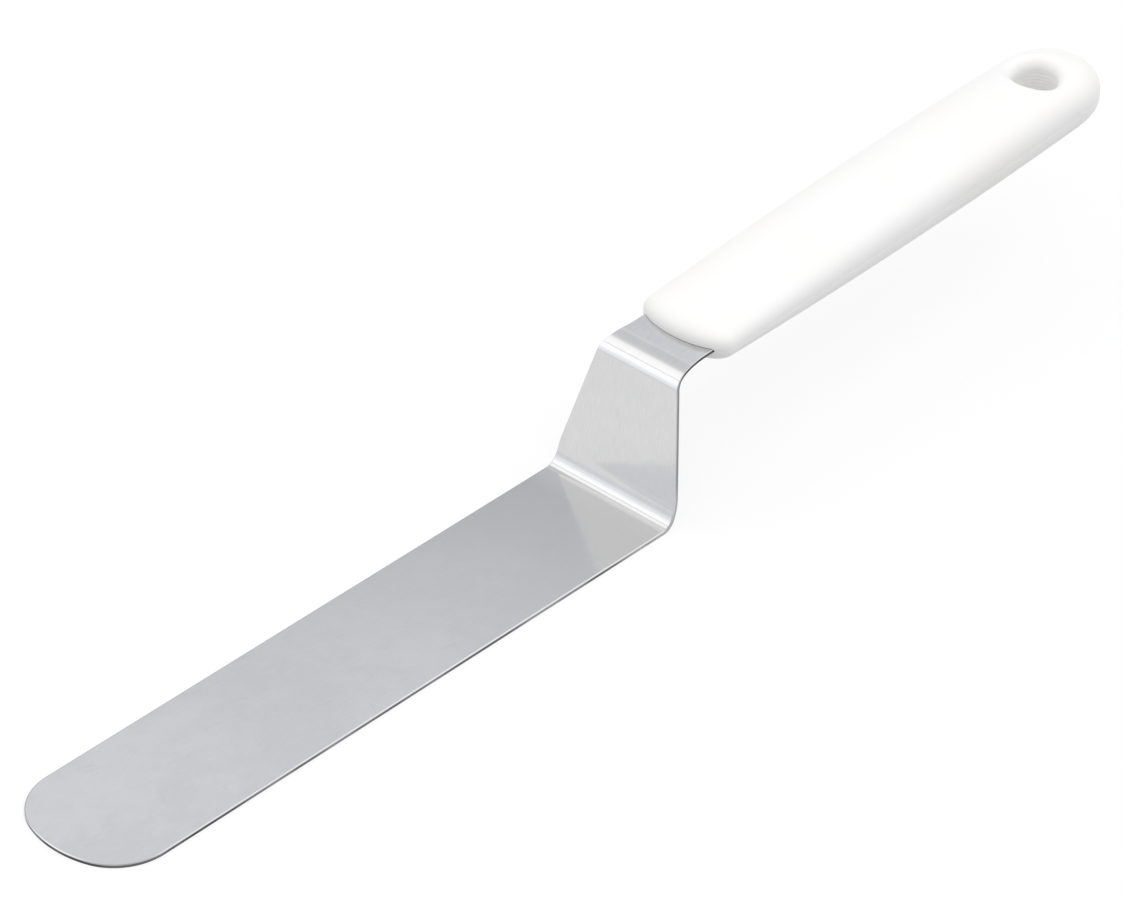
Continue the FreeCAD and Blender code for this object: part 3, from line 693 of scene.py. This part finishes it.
def new_group(name, inputs, outputs):
    """An empty node group with named float or vector inputs and float outputs."""
    group = bpy.data.node_groups.new(name, "ShaderNodeTree")
    for label, kind, default in inputs:
        socket = group.interface.new_socket(label, in_out="INPUT", socket_type=kind)
        if default is not None:
            socket.default_value = default
    for label in outputs:
        group.interface.new_socket(label, in_out="OUTPUT", socket_type="NodeSocketFloat")
    nodes = NodeTree(group)
    return group, nodes, nodes.add("NodeGroupInput").outputs, nodes.add("NodeGroupOutput").inputs


def mottle_group():
    """Soft cloudy patches from 0 to 1: broad noise with finer noise laid over it."""
    group, nodes, given, result = new_group("soft_mottle", [
        ("Place", "NodeSocketVector", None),
        ("Scale", "NodeSocketFloat", 60.0),
        ("Fine", "NodeSocketFloat", 0.3),
    ], ["Mask"])
    broad = nodes.noise(given["Place"], given["Scale"], 3.0, 0.55)
    finer = nodes.noise(given["Place"], nodes.math("MULTIPLY", given["Scale"], 9.0), 2.0)
    centred = nodes.math("SUBTRACT", finer, 0.5)
    both = nodes.math("MULTIPLY_ADD", centred, given["Fine"], broad)
    group.links.new(nodes.ramp(both, 0.3, 0.7, 0.0, 1.0), result["Mask"])
    return group


def scratch_group():
    """Sparse hairlines from 0 to 1: the thin zero line of a noise that is stretched along
    one direction, kept only where a second, broader noise is high."""
    group, nodes, given, result = new_group("hairlines", [
        ("Place", "NodeSocketVector", None),
        ("Angle", "NodeSocketFloat", 0.0),
        ("Width", "NodeSocketFloat", 0.004),
    ], ["Mask"])
    turned = nodes.add("ShaderNodeVectorRotate", rotation_type="Z_AXIS", inputs={
        "Vector": given["Place"], "Angle": given["Angle"]})
    stretched = nodes.add("ShaderNodeMapping", inputs={
        "Vector": turned.outputs[0], "Scale": (14.0, 420.0, 1.0)})
    lines = nodes.noise(stretched.outputs[0], 1.0, 1.0, dimensions="2D")
    off = nodes.math("ABSOLUTE", nodes.math("SUBTRACT", lines, 0.5))
    thin = nodes.math("SUBTRACT", 1.0, nodes.math("DIVIDE", off, given["Width"]))
    line = nodes.math("MAXIMUM", thin, 0.0)
    where = nodes.noise(turned.outputs[0], 90.0, 1.0, dimensions="2D")
    kept = nodes.ramp(where, 0.60, 0.68, 0.0, 1.0)
    group.links.new(nodes.math("MULTIPLY", line, kept), result["Mask"])
    return group


def emptied(owner):
    """The node tree of a new material or world, with nothing in it."""
    owner.use_nodes = True
    owner.node_tree.nodes.clear()
    return NodeTree(owner.node_tree)


def new_material(name):
    """The tree of a new material that has only a Principled BSDF and its output."""
    nodes = emptied(bpy.data.materials.new(name))
    shader = nodes.add("ShaderNodeBsdfPrincipled")
    nodes.add("ShaderNodeOutputMaterial", inputs={"Surface": shader.outputs[0]})
    return nodes, shader


def steel_material(finishes, blade, mottle, hairlines):
    """Bright rolled steel: fine grain along the sheet, faint handling marks, a few hairline
    scratches, and a rougher sheared edge, whose darker colour is partly its own and partly
    painted shade. The blade's colour is darkened next to the bend as painted shade, where
    its reflection is dimmer. Along the sheared edge, a painted reflection lightens it from
    just before the lower bend up the riser. Painted shade darkens it most round the tip,
    as a painted contact shadow, and along the tang."""
    nodes, shader = new_material("bright_steel")
    link = nodes.tree.links.new
    flat = nodes.add("ShaderNodeAttribute", attribute_name="sheet_place").outputs["Vector"]
    along, _, turned = nodes.add("ShaderNodeSeparateXYZ", inputs={"Vector": flat}).outputs
    edge = nodes.ramp(turned, 0.80, 0.97, 0.0, 1.0)

    stretched = nodes.add("ShaderNodeMapping", inputs={
        "Vector": flat, "Scale": (320.0, 3000.0, 1.0)})
    grain = nodes.noise(stretched.outputs[0], 1.0, 3.0, 0.6, "2D")
    marks = nodes.add("ShaderNodeGroup", node_tree=mottle, inputs={
        "Place": flat, "Scale": 26.0, "Fine": 0.35})
    # three sets of hairlines, each with its own direction in radians and its width
    scratches = 0.0
    for turn, width in ((0.35, 0.0035), (-1.1, 0.003), (0.02, 0.0035)):
        layer = nodes.add("ShaderNodeGroup", node_tree=hairlines, inputs={
            "Place": flat, "Angle": turn, "Width": width})
        scratches = nodes.math("ADD", layer.outputs[0], scratches)

    rough = nodes.ramp(marks.outputs[0], 0.0, 1.0, finishes.steel_roughness - 0.012,
                       finishes.steel_roughness + 0.02)
    rough = nodes.math("MULTIPLY_ADD", grain, 0.03, rough)
    rough = nodes.math("MULTIPLY_ADD", scratches, 0.12, rough)
    rough = nodes.math("MULTIPLY_ADD", edge, 0.32, rough)
    link(rough, shader.inputs["Roughness"])

    steel = np.array(finishes.steel)
    crease, tang = blade.blade_length, blade.blade_length + blade.rise
    grain_share = nodes.ramp(along, crease - 4 * MM, crease + 4 * MM, 0.25, 0.6)
    streaks = nodes.math("MULTIPLY", nodes.math("SUBTRACT", grain, 0.5), grain_share)
    clouds = nodes.math("MULTIPLY_ADD", marks.outputs[0], 0.135, 0.45)
    # painted shade: the blade's colour darkens from 50 mm before the crease, fully by 10 mm
    # before it, where its reflection is dimmer; the next ramp takes the shade away again past
    # the crease
    painted_bend_shade = nodes.ramp(along, crease - 50 * MM, crease - 10 * MM, 0.0, 0.22)
    painted_bend_shade_end = nodes.ramp(along, crease - 1 * MM, crease + 3 * MM, 0.0, -0.22)
    tone = nodes.math("ADD", clouds, streaks)
    for change in (painted_bend_shade, painted_bend_shade_end):
        tone = nodes.math("ADD", tone, change)
    steel_tone_with_shade = nodes.blend(tone, opaque(steel * 1.1), opaque(steel * 0.9))
    # the edge's tone varies at random along it, and painted light is added to that: darker round
    # the tip as a painted contact shadow, lighter from just before the lower bend as a painted
    # reflection, and much darker along the tang as painted shade
    paler = nodes.ramp(nodes.noise(flat, 55.0, 3.0), 0.38, 0.66, 0.12, 0.72)
    painted_tip_shadow = nodes.ramp(along, 8 * MM, 40 * MM, -0.3, 0.0)
    painted_bend_reflection = nodes.ramp(along, crease - 24 * MM, crease - 10 * MM, 0.0, 0.5)
    painted_tang_shade = nodes.ramp(along, tang - 2 * MM, tang + 4 * MM, 0.0, -0.95)
    for change in (painted_tip_shadow, painted_bend_reflection, painted_tang_shade):
        paler = nodes.math("ADD", paler, change)
    paler = nodes.math("MINIMUM", nodes.math("MAXIMUM", paler, 0.0), 1.0)
    sheared = nodes.blend(paler, opaque(finishes.edge_dark), opaque(finishes.edge_light))
    link(nodes.blend(edge, steel_tone_with_shade, sheared), shader.inputs["Base Color"])

    lines = nodes.math("MULTIPLY_ADD", scratches, -0.6, grain)
    bump = nodes.add("ShaderNodeBump", inputs={
        "Strength": 0.05, "Distance": 0.02 * MM, "Height": lines})
    link(bump.outputs[0], shader.inputs["Normal"])
    shader.inputs["Metallic"].default_value = 1.0


def plastic_material(finishes, mottle):
    """White moulded plastic: a slightly uneven gloss, a faint warm cast in patches and the
    very fine unevenness of a moulded skin."""
    nodes, shader = new_material("white_moulded_plastic")
    link = nodes.tree.links.new
    place = nodes.add("ShaderNodeTexCoord").outputs["Object"]
    clouds = nodes.add("ShaderNodeGroup", node_tree=mottle, inputs={
        "Place": place, "Scale": 45.0, "Fine": 0.25})
    skin = nodes.noise(place, 900.0, 2.0)
    white = np.array(finishes.plastic)
    warm = white * (1.0, 0.992, 0.975)
    link(nodes.blend(clouds.outputs[0], opaque(white), opaque(warm)),
         shader.inputs["Base Color"])
    rough = nodes.ramp(clouds.outputs[0], 0.0, 1.0, finishes.plastic_roughness - 0.02,
                       finishes.plastic_roughness + 0.02)
    link(nodes.math("MULTIPLY_ADD", skin, 0.03, rough), shader.inputs["Roughness"])
    bump = nodes.add("ShaderNodeBump", inputs={
        "Strength": 0.06, "Distance": 0.05 * MM, "Height": skin})
    link(bump.outputs[0], shader.inputs["Normal"])
    shader.inputs["IOR"].default_value = 1.49


# ---------------------------------------------------------------- stage

def direct_rays(nodes):
    """1 for rays that come from the camera, a mirror or glass, and 0 for the others."""
    rays = nodes.add("ShaderNodeLightPath").outputs
    seen = nodes.math("MAXIMUM", rays["Is Camera Ray"], rays["Is Glossy Ray"])
    return nodes.math("MAXIMUM", seen, rays["Is Transmission Ray"])


def floor_material():
    """Matt white that keeps the knife's shadow. Seen directly or in a mirror, a share of it
    glows evenly, so that the floor reads as plain white paper. It throws less light back
    up at the knife than paper would."""
    hidden_grey, seen_grey, glow_share = 0.56, 0.93, 0.8
    material = bpy.data.materials.new("white_floor")
    nodes = emptied(material)
    seen = direct_rays(nodes)
    white = nodes.blend(seen, opaque([hidden_grey] * 3), opaque([seen_grey] * 3))
    paper = nodes.add("ShaderNodeBsdfDiffuse", inputs={"Color": white})
    glow = nodes.add("ShaderNodeEmission", inputs={"Color": WHITE, "Strength": 1.0})
    mixed = nodes.add("ShaderNodeMixShader", inputs={
        0: nodes.math("MULTIPLY", seen, glow_share), 1: paper.outputs[0], 2: glow.outputs[0]})
    nodes.add("ShaderNodeOutputMaterial", inputs={"Surface": mixed.outputs[0]})
    return material


def towards(azimuth, elevation):
    """The unit direction at an azimuth from +X and an elevation, in degrees."""
    around, above = np.radians((azimuth, elevation))
    return Vector((np.cos(around) * np.cos(above), np.sin(around) * np.cos(above),
                   np.sin(above)))


def studio_world():
    """A pale studio. Behind the knife it darkens below a soft line and dims a little above
    it, five soft panels glow, weaker low down, and towards the viewer the room is darker.
    Its lower part is slightly cool. Seen directly it is plain white."""
    world = bpy.data.worlds.new("studio")
    nodes = emptied(world)
    direction = nodes.add("ShaderNodeTexCoord").outputs["Generated"]

    def facing(azimuth, elevation):
        node = nodes.add("ShaderNodeVectorMath", operation="DOT_PRODUCT", inputs={
            0: direction, 1: towards(azimuth, elevation)})
        return node.outputs["Value"]

    height = nodes.add("ShaderNodeSeparateXYZ", inputs={"Vector": direction}).outputs["Z"]
    sky = nodes.ramp(height, 0.30, 0.63, 1.04, 0.955)
    low_dip = nodes.ramp(height, 0.562, 0.628, 0.445, 0.0)
    high_dip = nodes.ramp(height, 0.640, 0.695, 0.0, 0.13)
    behind = nodes.ramp(facing(BEHIND_AZIMUTH, 0.0), 0.25, 0.55, 0.0, 1.0)
    front = nodes.ramp(facing(FRONT_AZIMUTH, 0.0), 0.0, 0.8, 1.0, 0.52)
    dip = nodes.math("MULTIPLY", nodes.math("ADD", low_dip, high_dip), behind)
    strength = nodes.math("MULTIPLY", nodes.math("SUBTRACT", sky, dip), front)
    panels = 0.0
    for panel, start, full, glow in PANELS:
        panels = nodes.math("ADD", nodes.ramp(facing(*panel), start, full, 0.0, glow), panels)
    panels = nodes.math("MULTIPLY", panels, nodes.ramp(height, 0.32, 0.50, 0.5, 1.0))
    strength = nodes.math("ADD", strength, panels)
    neutral = nodes.math("ADD", nodes.ramp(height, 0.72, 0.84, 0.0, 1.0),
                         nodes.math("MULTIPLY", panels, 1.2))
    tint = nodes.blend(nodes.math("MINIMUM", neutral, 1.0), (0.985, 0.992, 1.04, 1.0), WHITE)
    light = nodes.add("ShaderNodeBackground", inputs={"Color": tint, "Strength": strength})
    white = nodes.add("ShaderNodeBackground", inputs={"Color": WHITE, "Strength": 1.0})
    camera_ray = nodes.add("ShaderNodeLightPath").outputs["Is Camera Ray"]
    mixed = nodes.add("ShaderNodeMixShader", inputs={
        0: camera_ray, 1: light.outputs[0], 2: white.outputs[0]})
    nodes.add("ShaderNodeOutputWorld", inputs={"Surface": mixed.outputs[0]})
    return world


def add_lamp(stage, name, direction, middle, power):
    """A rectangular soft lamp in a direction from the middle of the knife, and turned
    towards it. It lights the knife but doesn't mirror in the steel."""
    lamp = bpy.data.lights.new(name, "AREA")
    lamp.shape = "RECTANGLE"
    lamp.size, lamp.size_y = stage.lamp_width, stage.lamp_height
    lamp.energy = power
    holder = new_object(name, lamp)
    away = towards(*direction)
    holder.location = middle + away * stage.lamp_distance
    holder.rotation_euler = (-away).to_track_quat("-Z", "Y").to_euler()
    holder.visible_glossy = False


def add_camera(stage, middle):
    """The camera, at its azimuth and elevation round the middle of the knife."""
    around, above = stage.view_azimuth, stage.view_elevation
    right = Vector((np.cos(around), np.sin(around), 0))
    back = Vector((np.sin(around) * np.cos(above), -np.cos(around) * np.cos(above),
                   np.sin(above)))
    up = back.cross(right)
    camera = bpy.data.cameras.new("camera")
    camera.sensor_fit = "HORIZONTAL"
    camera.sensor_width = 36.0
    camera.lens = stage.lens_mm
    camera.clip_start, camera.clip_end = 10 * MM, 50000 * MM
    holder = new_object("camera", camera)
    holder.location = (middle + back * stage.view_distance + right * stage.slide_right
                       + up * stage.slide_up)
    holder.rotation_euler = back.to_track_quat("Z", "Y").to_euler()
    bpy.context.scene.camera = holder


# ---------------------------------------------------------------- operators

class KNIFE_OT_finishes(bpy.types.Operator):
    """Make the steel and plastic materials"""
    bl_idname = "knife.finishes"
    bl_label = "Finishes"

    def execute(self, context):
        mottle, hairlines = mottle_group(), scratch_group()
        finishes = context.scene.knife_finishes
        steel_material(finishes, context.scene.knife_blade, mottle, hairlines)
        plastic_material(finishes, mottle)
        return {"FINISHED"}


class KNIFE_OT_blade(bpy.types.Operator):
    """Make the bent steel sheet: blade, riser and tang"""
    bl_idname = "knife.blade"
    bl_label = "Blade"

    def execute(self, context):
        points, place = blade_surface(context.scene.knife_blade)
        piece = make_piece("steel_blade", [(points, True)], caps=[(0, -1)],
                           attributes={"sheet_place": [place]})
        settle(piece, bpy.data.materials["bright_steel"], ["blade"])
        return {"FINISHED"}


class KNIFE_OT_handle(bpy.types.Operator):
    """Make both plastic shells of the handle"""
    bl_idname = "knife.handle"
    bl_label = "Handle shells"

    def execute(self, context):
        sizes, blade = context.scene.knife_handle, context.scene.knife_blade
        for name, node, sign in (("upper_handle_shell", "handle_upper_shell", 1),
                                 ("lower_handle_shell", "handle_lower_shell", -1)):
            piece = make_piece(name, to_knife(sizes, shell_grids(sizes, blade, sign)))
            settle(piece, bpy.data.materials["white_moulded_plastic"], [node])
        return {"FINISHED"}


class KNIFE_OT_stage(bpy.types.Operator):
    """Set out the floor, the studio light and the camera"""
    bl_idname = "knife.stage"
    bl_label = "Stage"

    def execute(self, context):
        stage = context.scene.knife_stage
        low, high = (Vector(corner) for corner in CAD_BOX)
        middle = (low + high) / 2
        half = stage.floor_size / 2
        plane = bpy.data.meshes.new("floor")
        plane.from_pydata([(-half, -half, low.z), (half, -half, low.z), (half, half, low.z),
                           (-half, half, low.z)], [], [(0, 1, 2, 3)])
        plane.materials.append(floor_material())
        floor = new_object("floor", plane)
        context.scene.world = studio_world()
        for name, direction, power in (("key_softbox", KEY_DIRECTION, stage.key_power),
                                       ("fill_softbox", FILL_DIRECTION, stage.fill_power)):
            add_lamp(stage, name, direction, middle, power)
        add_camera(stage, middle)
        context.scene.view_settings.view_transform = "Standard"
        return {"FINISHED"}


class KNIFE_PT_panel(bpy.types.Panel):
    """The knife's sizes, finishes and operators in the sidebar"""
    bl_idname = "KNIFE_PT_panel"
    bl_label = "Palette knife"
    bl_space_type = "VIEW_3D"
    bl_region_type = "UI"
    bl_category = "Palette knife"

    def draw(self, context):
        for group, operator in (("knife_finishes", KNIFE_OT_finishes),
                                ("knife_blade", KNIFE_OT_blade),
                                ("knife_handle", KNIFE_OT_handle),
                                ("knife_stage", KNIFE_OT_stage)):
            box = self.layout.box()
            settings = getattr(context.scene, group)
            for key in settings.__annotations__:
                box.prop(settings, key)
            box.operator(operator.bl_idname)


GROUPS = {
    "knife_finishes": Finishes,
    "knife_blade": BladeSizes,
    "knife_handle": HandleSizes,
    "knife_stage": StageSizes,
}
CLASSES = (*GROUPS.values(), KNIFE_OT_finishes, KNIFE_OT_blade, KNIFE_OT_handle,
           KNIFE_OT_stage, KNIFE_PT_panel)


def register():
    """Register the classes and hang each group of sizes on the scene."""
    for item in CLASSES:
        bpy.utils.register_class(item)
    for name, group in GROUPS.items():
        setattr(bpy.types.Scene, name, PointerProperty(type=group))


def unregister():
    """Take the groups off the scene and unregister the classes."""
    for name in GROUPS:
        delattr(bpy.types.Scene, name)
    for item in reversed(CLASSES):
        bpy.utils.unregister_class(item)


def main():
    """Build the knife and its stage."""
    register()
    bpy.ops.knife.finishes()
    bpy.ops.knife.blade()
    bpy.ops.knife.handle()
    bpy.ops.knife.stage()


if __name__ == "__main__":
    main()
